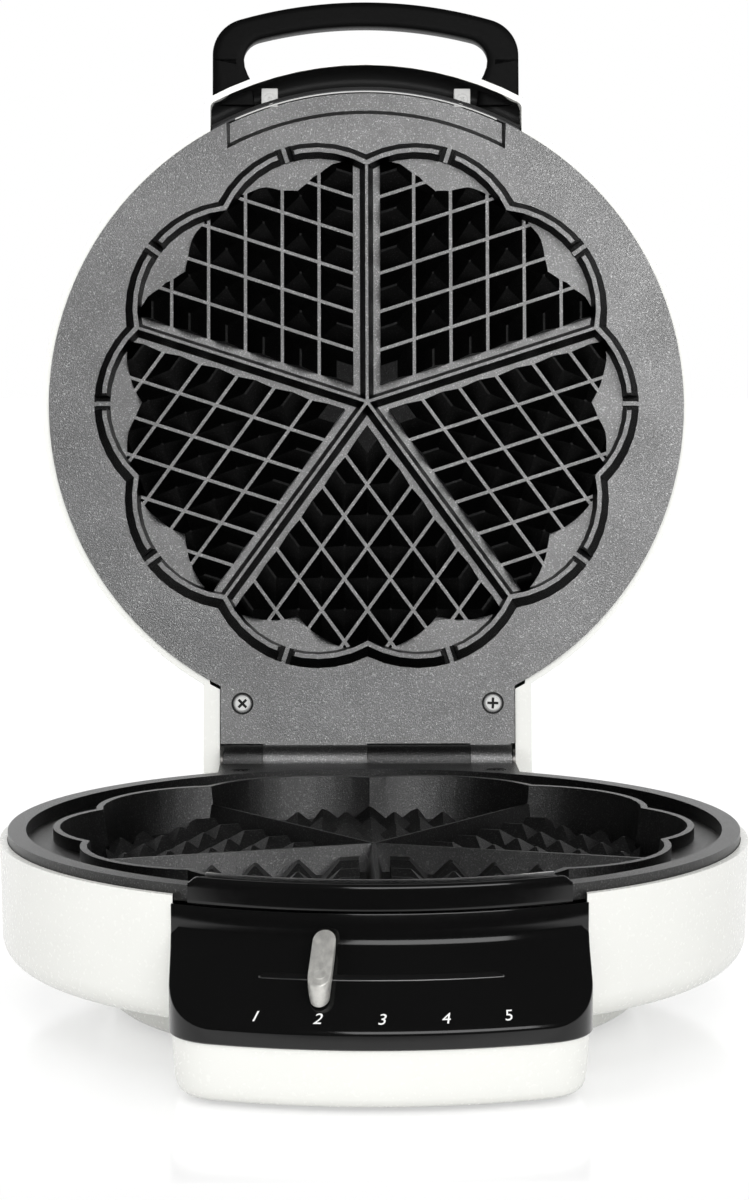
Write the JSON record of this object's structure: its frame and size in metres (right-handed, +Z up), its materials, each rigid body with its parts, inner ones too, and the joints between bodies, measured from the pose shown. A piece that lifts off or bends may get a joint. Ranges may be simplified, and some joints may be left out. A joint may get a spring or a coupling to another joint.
{
  "type": "waffle maker",
  "caption": "Round tabletop waffle maker with heart-pattern cast plates, hinged lid, front loop handle and sliding browning control.",
  "frame": {"origin": "on the table, below the middle of the open appliance's bounding box", "axes": "+Z up, front with the control towards -Y, hinge side towards +Y, +X to the right seen from the front"},
  "size_m": [0.2492, 0.3598, 0.3507],
  "materials": {
    "white_plastic": "gloss",
    "foot_rubber": "matte",
    "screw_steel": "bright",
    "coated_casting": "non-stick coating",
    "element_steel": "satin",
    "shield_aluminium": "mill finish",
    "thermostat_ceramic": "ceramic",
    "terminal_plastic": "matte",
    "black_rubber": "matte",
    "black_gloss": "high gloss",
    "brushed_metal": "brushed",
    "black_satin": "satin",
    "grey_trim": "satin"
  },
  "bodies": {
    "base": {"base_shell": "white_plastic", "foot_bowl": "white_plastic", "rubber_feet": "foot_rubber", "bowl_screws": "screw_steel", "lower_plate": "coated_casting", "lower_plate_screws": "screw_steel", "lower_element": "element_steel", "lower_heat_shield": "shield_aluminium", "thermostat": "thermostat_ceramic", "thermostat_bracket": "element_steel", "terminal_block": "terminal_plastic", "cord_gland": "black_rubber", "control_housing": "white_plastic", "control_panel": "black_gloss", "plate_bridge": "black_gloss", "housing_screws": "screw_steel", "hinge_pin": "element_steel", "pin_clips": "element_steel"},
    "lid": {"lid_shell": "white_plastic", "upper_plate": "coated_casting", "plate_screws": "screw_steel", "upper_element": "element_steel", "upper_heat_shield": "shield_aluminium", "handle": "black_satin", "handle_bracket": "black_satin", "handle_screws": "screw_steel", "neck_trim": "grey_trim"},
    "control": {"slider_knob": "brushed_metal", "control_lever": "element_steel", "thermostat_spindle": "element_steel"}
  },
  "joints": [
    {"name": "lid_hinge", "type": "hinge", "parent": "base", "child": "lid", "pos_m": [0, 0.10568, 0.06], "axis": [1, 0, 0], "range_deg": [0, 99.67]},
    {"name": "browning_control", "type": "hinge", "parent": "base", "child": "control", "pos_m": [0, -0.03092, 0.022], "axis": [0, 0, 1], "range_deg": [-7.4, 22.2]}
  ]
}
